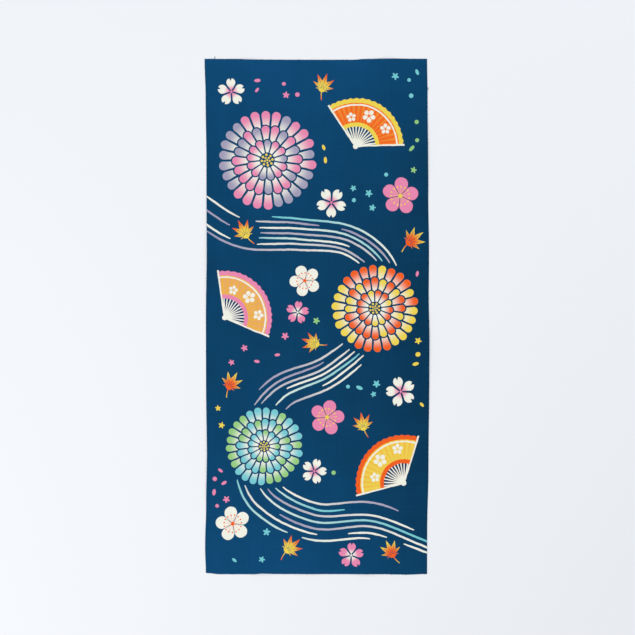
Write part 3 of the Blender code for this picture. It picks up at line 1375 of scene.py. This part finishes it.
def printed_colour(tree, cloth, ground, dyes, petals):
    """The ground's colour with the print on it, and the print's mask.

    Each layer of the print first clears its room in what lies below and is then laid over it.
    """
    tremble = wobble(cloth, (TREMBLE, TREMBLE, 0.0), scale=90.0, detail=5.0, roughness=0.62)
    line = use_group(tree, water_line_group(), {
        "Line": vector_node("ADD", attribute(tree, "stream_place"), tremble),
    })
    colour = blend(line["Mask"], ground, attribute(tree, "stream_dye"))
    printed = line["Mask"]
    groups = layer_groups(petals)
    for name, _, roles in PRINT_LAYERS:
        place = vector_node("ADD", attribute(tree, f"{name}_place"), tremble)
        values = {role: attribute(tree, f"{name}_{role.lower()}") for role in roles}
        if name == "mum":
            values["Eye"] = as_colour(dyes.yellow)
        layer = use_group(tree, groups[name], {"Place": place, **values})
        cleared = blend(layer["Room"], colour, ground)
        colour = blend(layer["Mask"], cleared, layer["Colour"])
        printed = (printed * (1 - layer["Room"])).most(layer["Mask"])
    grain = use_group(tree, grain_group(), {
        "Place": vector_node("ADD", attribute(tree, "grain_place"), tremble),
        "Lobes": split(attribute(tree, "grain_shape"))[0],
    })
    colour = blend(grain["Mask"], colour, attribute(tree, "grain_dye"))
    return colour, printed.most(grain["Mask"])


def printed_cotton(sizes, dyes, petals):
    """Dyed and printed plain weave.

    The colour is darker between the yarns, which is painted shade, and differs a little from yarn to
    yarn. The height sums the yarns, the cloth's puckers and its slubs.
    """
    yarn_bump = 0.09 * MM
    pucker_bump = 0.5 * MM
    slub_bump = 0.06 * MM
    material, tree, shader = new_material("printed_cotton", dyes.ground_deep, 0.88)
    cloth = attribute(tree, "cloth_place")
    ground = use_group(tree, ground_dye_and_painted_light_group(), {
        "Cloth": cloth, "Deep": as_colour(dyes.ground_deep), "Light": as_colour(dyes.ground_light),
    })
    colour, printed = printed_colour(tree, cloth, ground["Colour"], dyes, petals)
    weave = use_group(tree, plain_weave_group(), {
        "Cloth": cloth, "Pitch": sizes.yarn_pitch, "Selvedge": sizes.selvedge,
    })
    patches = noise(cloth, scale=55.0, detail=4.0, roughness=0.6)
    # Painted shade: lighter on the yarns' crests, darker between them; the rest is yarn, print and selvedge
    # tone
    tone_and_painted_shade = 0.84 + 0.20 * weave["Height"] + (weave["Yarn"] - 0.5) * 0.12
    tone_and_painted_shade = tone_and_painted_shade + (patches - 0.5) * 0.10 * printed - weave["Band"] * 0.05
    feed(shader.inputs["Base Color"], vector_node("SCALE", colour, tone_and_painted_shade))
    feed(shader.inputs["Roughness"], 0.90 - printed * 0.06 - weave["Height"] * 0.04)

    puckers = noise(cloth, scale=42.0, detail=3.0)
    yarn_height = weave["Height"] * yarn_bump * (0.8 + 0.4 * weave["Yarn"])
    height = yarn_height + puckers * pucker_bump + ground["Streak"] * slub_bump
    add_bump(tree, shader, height, distance=1.0, strength=0.7)
    return material


def dyed_yarn(dyes):
    """Spun cotton yarn in the ground's dye: darker and lighter fibres, and a fine bump of the fibres."""
    material, tree, shader = new_material("dyed_yarn", dyes.ground_deep, 0.9)
    where = object_place(tree)
    fibres = noise(where, scale=2600.0, detail=3.0, roughness=0.6)
    clouds = noise(where, scale=30.0)
    share = (fibres * 0.7 + clouds * 0.5).clamped()
    colour = blend(share, as_colour(dyes.ground_deep), as_colour(dyes.ground_light))
    feed(shader.inputs["Base Color"], colour)
    feed(shader.inputs["Roughness"], 0.86 + fibres * 0.1)
    add_bump(tree, shader, fibres, distance=0.05 * MM, strength=0.5)
    return material


def pale_surface(colour):
    """A matt surface with painted light and shade: a little lighter on one side of the towel and deeper on
    the other.

    The share of the deeper tone is a half plus a sloping plane and a twist in x and y, which fade
    out with the distance from the towel.
    """
    material, tree, shader = new_material("pale_surface", colour, 0.9)
    where = object_place(tree)
    x, y, _ = split(where)
    near = 1 - length_of(where).ramp(0.7, 1.6)
    # Painted light and shade: the deeper tone grows to the right and downwards, and fades away from the
    # towel
    share = (0.5 + (x * 0.21 - y * 0.22 - x * y * 1.3) * near).clamped()
    light = as_colour(channel * 1.04 for channel in colour)
    deep = as_colour(channel * 0.96 for channel in colour)
    feed(shader.inputs["Base Color"], blend(share, light, deep))
    return material


def set_corner_values(mesh, name, values):
    """Stores three numbers for each face corner of the mesh, places and dyes alike."""
    stored = mesh.attributes.new(name, "FLOAT_VECTOR", "CORNER")
    stored.data.foreach_set("vector", values.astype(np.float32).ravel())


def print_on(mesh, cloth, dyes, prints):
    """Stores the places and dyes of the whole print on the corners of the cloth's mesh."""
    flat = np.concatenate([cloth.corner_flat, np.zeros(cloth.corner_flat.shape[:2] + (1,))], -1)
    set_corner_values(mesh, "cloth_place", flat)
    place, colour = print_stream(cloth, dyes, prints)
    set_corner_values(mesh, "stream_place", place)
    set_corner_values(mesh, "stream_dye", colour)
    for name, motifs, roles in PRINT_LAYERS:
        place, owner = print_motifs(cloth, motifs, MOTIF_REACH)
        set_corner_values(mesh, f"{name}_place", place)
        for role in roles:
            rows = [getattr(dyes, getattr(motif, role.lower())) for motif in motifs]
            set_corner_values(mesh, f"{name}_{role.lower()}", per_corner(rows, owner))
    grains = scatter_grains(prints.lane_pitch)
    place, owner = print_motifs(cloth, grains, GRAIN_REACH)
    set_corner_values(mesh, "grain_place", place)
    dye_rows = [getattr(dyes, grain.dye) for grain in grains]
    set_corner_values(mesh, "grain_dye", per_corner(dye_rows, owner))
    shape_rows = [(grain.lobes, 0.0, 0.0) for grain in grains]
    set_corner_values(mesh, "grain_shape", per_corner(shape_rows, owner))


def tubes(paths, radii, sides):
    """Closed tubes along many paths at once, as points and four-sided faces. Sides is even.

    Each ring lies square to its path: radius times the cosine of an angle along a level side
    direction, plus radius times its sine along the direction square to both. The ends are closed.
    """
    count, steps, _ = paths.shape
    ahead = np.gradient(paths, axis=1)
    ahead /= np.linalg.norm(ahead, axis=2, keepdims=True)
    level = np.cross(ahead, (0.0, 0.0, 1.0))
    level[np.linalg.norm(level, axis=2) < 1e-6] = (1.0, 0.0, 0.0)
    level /= np.linalg.norm(level, axis=2, keepdims=True)
    upright = np.cross(level, ahead)
    angle = np.arange(sides) * 2 * math.pi / sides
    around = level[:, :, None, :] * np.cos(angle)[:, None] + upright[:, :, None, :] * np.sin(angle)[:, None]
    points = paths[:, :, None, :] + around * radii[:, :, None, None]
    number = np.arange(count * steps * sides).reshape(count, steps, sides)
    beside = np.roll(number, -1, axis=2)
    walls = np.stack([number[:, 1:], beside[:, 1:], beside[:, :-1], number[:, :-1]], -1)
    faces = [walls.reshape(-1, 4)]
    for third in range(2, sides, 2):
        corners = [0, third - 1, third, (third + 1) % sides]
        faces += [number[:, 0, corners], number[:, -1, corners[::-1]]]
    return points.reshape(-1, 3), np.concatenate(faces)


def laid_points(flat, lift):
    """Places on the flat cloth carried onto the laid cloth, lifted above its underside."""
    points = lay_out(flat)
    points[:, 2] += lift
    return points


def cut_yarns(end, sizes, random):
    """Paths and radii of the cut warp yarns at one end: short stubs, a little uneven."""
    x = np.arange(-WIDTH / 2 + sizes.yarn_pitch, WIDTH / 2 - sizes.yarn_pitch / 2, sizes.yarn_pitch)
    x = x + random.uniform(-0.1, 0.1, len(x)) * sizes.yarn_pitch
    out = random.uniform(0.05, 0.35, len(x)) * sizes.fray
    radius = random.uniform(0.26, 0.34, len(x)) * sizes.yarn_pitch
    return end_paths(end, x, out, random.normal(0, 0.15, len(x)), radius, sizes, steps=4)


def frayed_fibres(end, sizes, random):
    """Paths and radii of the fine fibres that come loose from the cut yarns, three to a yarn."""
    count = 3 * round(WIDTH / sizes.yarn_pitch - 2)
    x = random.uniform(-WIDTH / 2 + sizes.yarn_pitch, WIDTH / 2 - sizes.yarn_pitch, count)
    out = random.uniform(0.25, 1.0, count) ** 1.8 * sizes.fray
    radius = random.uniform(0.05, 0.09, count) * sizes.yarn_pitch
    return end_paths(end, x, out, random.normal(0, 0.55, count), radius, sizes, steps=5)


def end_paths(end, x, out, lean, radius, sizes, steps):
    """Paths from inside the cloth straight out of its end, each by its own length.

    A path leans aside by its own share of that length, growing as the square of the way out, and
    sinks a little. Its radius narrows as the cube of the way out.
    """
    inside = 0.5 * MM
    sink = 0.2  # of the cloth's thickness
    root = laid_points(np.column_stack([x, np.full(len(x), end * LENGTH / 2)]), sizes.thickness / 2)
    share = np.linspace(0, 1, steps)
    paths = np.repeat(root[:, None, :], steps, axis=1)
    paths[:, :, 1] += end * (share * (out[:, None] + inside) - inside)
    paths[:, :, 0] += share**2 * (lean * out)[:, None]
    paths[:, :, 2] -= sizes.thickness * sink * share**2
    return paths, radius[:, None] * (1 - 0.5 * share**3)


def selvedge_turns(side, sizes, random):
    """Paths and radii of the weft's turns round one selvedge.

    A turn is half an ellipse that leaves the cloth at one pick and comes back at the next, and
    stands out by less than a yarn.
    """
    inside = 0.3 * MM
    steps = 9
    pitch = 2 * sizes.yarn_pitch
    y = np.arange(-LENGTH / 2 + pitch, LENGTH / 2 - pitch, pitch)
    angle = np.linspace(-math.pi / 2, math.pi / 2, steps)
    out = random.uniform(0.3, 0.46, len(y))[:, None] * sizes.yarn_pitch
    flat_y = y[:, None] + np.sin(angle) * pitch * 0.46
    flat = np.column_stack([np.full(flat_y.size, side * WIDTH / 2), flat_y.ravel()])
    paths = laid_points(flat, sizes.thickness / 2).reshape(len(y), steps, 3)
    paths[:, :, 0] += side * (np.cos(angle) * (out + inside) - inside)
    return paths, np.full(paths.shape[:2], sizes.yarn_pitch * 0.30)


def stray_threads(sizes):
    """Paths and radii of the loose threads.

    A thread starts one step inside the edge, leaves in its own direction and bends at an even
    rate, as its curl says, while it settles from the middle of the cloth down to the surface.
    """
    share = np.linspace(0, 1, THREAD_STEPS)
    rest = TOWEL_LOW.z + THREAD_RADIUS
    paths = []
    for stray in STRAYS:
        root = laid_points(np.array([[stray.x, stray.y]]) * MM, sizes.thickness / 2)[0]
        heading = math.radians(stray.heading) + stray.curl * share
        step = stray.length * MM / (THREAD_STEPS - 1)
        run = np.column_stack([np.cos(heading), np.sin(heading)]) * step
        level = root[:2] + np.cumsum(run, axis=0) - run[0] * 2
        paths.append(np.column_stack([level, rest + (root[2] - rest) * (1 - share) ** 2]))
    radii = np.full((len(paths), THREAD_STEPS), THREAD_RADIUS) * (1 - 0.5 * share**4)
    return np.array(paths), radii


def settle(piece):
    """Makes a finished piece of the towel ride on its body."""
    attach(piece, BODY)
    return piece


def yarn_material(scene):
    """The yarns' material, made the first time that a piece asks for it."""
    return bpy.data.materials.get("dyed_yarn") or dyed_yarn(scene.tenugui_dyes)


YARN_SIDES = 6
FIBRE_SIDES = 4


class TENUGUI_OT_cloth(bpy.types.Operator):
    """Lays out the printed cloth as a thin closed shell on the towel's ripples"""

    bl_idname = "tenugui.cloth"
    bl_label = "Printed cloth"

    def execute(self, context):
        sizes = context.scene.tenugui_cloth
        dyes = context.scene.tenugui_dyes
        prints = context.scene.tenugui_print
        cloth = ClothGrid(sizes.cell, sizes.thickness)
        material = printed_cotton(sizes, dyes, prints.petals)
        piece = add_mesh("printed_cloth", cloth.points, cloth.faces, material)
        bake_map = piece.data.uv_layers.new(name="OFBake")
        bake_map.uv.foreach_set("vector", cloth.bake_map().astype(np.float32).ravel())
        print_on(piece.data, cloth, dyes, prints)
        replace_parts(settle(piece), "towel")
        return {"FINISHED"}


class TENUGUI_OT_cut_ends(bpy.types.Operator):
    """Adds the short cut yarns that stand out of both cut ends"""

    bl_idname = "tenugui.cut_ends"
    bl_label = "Cut ends"

    def execute(self, context):
        sizes = context.scene.tenugui_cloth
        for name, end in (("upper_cut_yarns", 1), ("lower_cut_yarns", -1)):
            random = np.random.default_rng(FRAY_SEED + end)
            yarn_points, yarn_faces = tubes(*cut_yarns(end, sizes, random), YARN_SIDES)
            fibre_points, fibre_faces = tubes(*frayed_fibres(end, sizes, random), FIBRE_SIDES)
            points = np.concatenate([yarn_points, fibre_points])
            faces = np.concatenate([yarn_faces, fibre_faces + len(yarn_points)])
            settle(add_mesh(name, points, faces, yarn_material(context.scene)))
        return {"FINISHED"}


class TENUGUI_OT_selvedges(bpy.types.Operator):
    """Adds the turns of the weft along both selvedges"""

    bl_idname = "tenugui.selvedges"
    bl_label = "Selvedges"

    def execute(self, context):
        sizes = context.scene.tenugui_cloth
        for name, side in (("left_selvedge", -1), ("right_selvedge", 1)):
            random = np.random.default_rng(SELVEDGE_SEED + side)
            points, faces = tubes(*selvedge_turns(side, sizes, random), YARN_SIDES)
            settle(add_mesh(name, points, faces, yarn_material(context.scene)))
        return {"FINISHED"}


class TENUGUI_OT_strays(bpy.types.Operator):
    """Adds the few loose threads at the edges"""

    bl_idname = "tenugui.strays"
    bl_label = "Loose threads"

    def execute(self, context):
        points, faces = tubes(*stray_threads(context.scene.tenugui_cloth), YARN_SIDES)
        settle(add_mesh("loose_threads", points, faces, yarn_material(context.scene)))
        return {"FINISHED"}


FLOOR_HALF = 40.0
FLOOR_GAP = 0.1 * MM  # under the towel
SKY_TINT = (0.97, 0.985, 1.0)
LAMP_SIDE = 2.4
LAMP_PLACE = Vector((-1.9, -0.4, 2.2))
CAMERA_PLACE = Vector((0.9 * MM, -1.5 * MM, 2564 * MM))
SENSOR_WIDTH = 36.0  # millimetres


def add_to_scene(name, data, place):
    """A lamp or a camera as an object at its place."""
    thing = bpy.data.objects.new(name, data)
    thing.location = place
    bpy.context.scene.collection.objects.link(thing)
    return thing


class TENUGUI_OT_stage(bpy.types.Operator):
    """Sets the pale surface, the soft light and the camera straight above the towel"""

    bl_idname = "tenugui.stage"
    bl_label = "Surface, light and camera"

    def execute(self, context):
        stage = context.scene.tenugui_stage
        points = np.array([(-1, -1, 0), (1, -1, 0), (1, 1, 0), (-1, 1, 0)]) * FLOOR_HALF
        points[:, 2] = TOWEL_LOW.z - FLOOR_GAP
        add_mesh("pale_floor", points, np.array([[0, 1, 2, 3]]), pale_surface(stage.surface))

        world = bpy.data.worlds.new("even_light")
        context.scene.world = world
        world.use_nodes = True
        background = world.node_tree.nodes["Background"]
        background.inputs["Color"].default_value = as_colour(SKY_TINT)
        background.inputs["Strength"].default_value = stage.daylight

        lamp = bpy.data.lights.new("window_light", "AREA")
        lamp.shape = "SQUARE"
        lamp.size = LAMP_SIDE
        lamp.energy = stage.window
        lamp_thing = add_to_scene("window_light", lamp, LAMP_PLACE)
        lamp_thing.rotation_euler = (-LAMP_PLACE).to_track_quat("-Z", "Y").to_euler()

        camera = bpy.data.cameras.new("view_from_above")
        camera.lens = stage.lens
        camera.sensor_width = SENSOR_WIDTH
        context.scene.camera = add_to_scene("view_from_above", camera, CAMERA_PLACE)
        context.scene.view_settings.view_transform = "Standard"
        return {"FINISHED"}


class TENUGUI_PT_towel(bpy.types.Panel):
    """Lists the towel's pieces and their sizes and colours"""

    bl_idname = "TENUGUI_PT_towel"
    bl_label = "Tenugui towel"
    bl_space_type = "VIEW_3D"
    bl_region_type = "UI"
    bl_category = "Tenugui"

    def draw(self, context):
        layout = self.layout
        scene = context.scene
        for group in (scene.tenugui_cloth, scene.tenugui_dyes, scene.tenugui_print, scene.tenugui_stage):
            box = layout.box()
            for name in group.__annotations__:
                box.prop(group, name)
        for operator in OPERATORS:
            layout.operator(operator.bl_idname)


OPERATORS = (
    TENUGUI_OT_cloth,
    TENUGUI_OT_cut_ends,
    TENUGUI_OT_selvedges,
    TENUGUI_OT_strays,
    TENUGUI_OT_stage,
)
CLASSES = (TowelCloth, TowelDyes, TowelPrint, TowelStage, *OPERATORS, TENUGUI_PT_towel)


def register():
    for cls in CLASSES:
        bpy.utils.register_class(cls)
    bpy.types.Scene.tenugui_cloth = PointerProperty(type=TowelCloth)
    bpy.types.Scene.tenugui_dyes = PointerProperty(type=TowelDyes)
    bpy.types.Scene.tenugui_print = PointerProperty(type=TowelPrint)
    bpy.types.Scene.tenugui_stage = PointerProperty(type=TowelStage)


def unregister():
    del bpy.types.Scene.tenugui_stage
    del bpy.types.Scene.tenugui_print
    del bpy.types.Scene.tenugui_dyes
    del bpy.types.Scene.tenugui_cloth
    for cls in reversed(CLASSES):
        bpy.utils.unregister_class(cls)


def main():
    """Builds the stage and the towel."""
    register()
    bpy.ops.tenugui.stage()
    bpy.ops.tenugui.cloth()
    bpy.ops.tenugui.cut_ends()
    bpy.ops.tenugui.selvedges()
    bpy.ops.tenugui.strays()


if __name__ == "__main__":
    main()
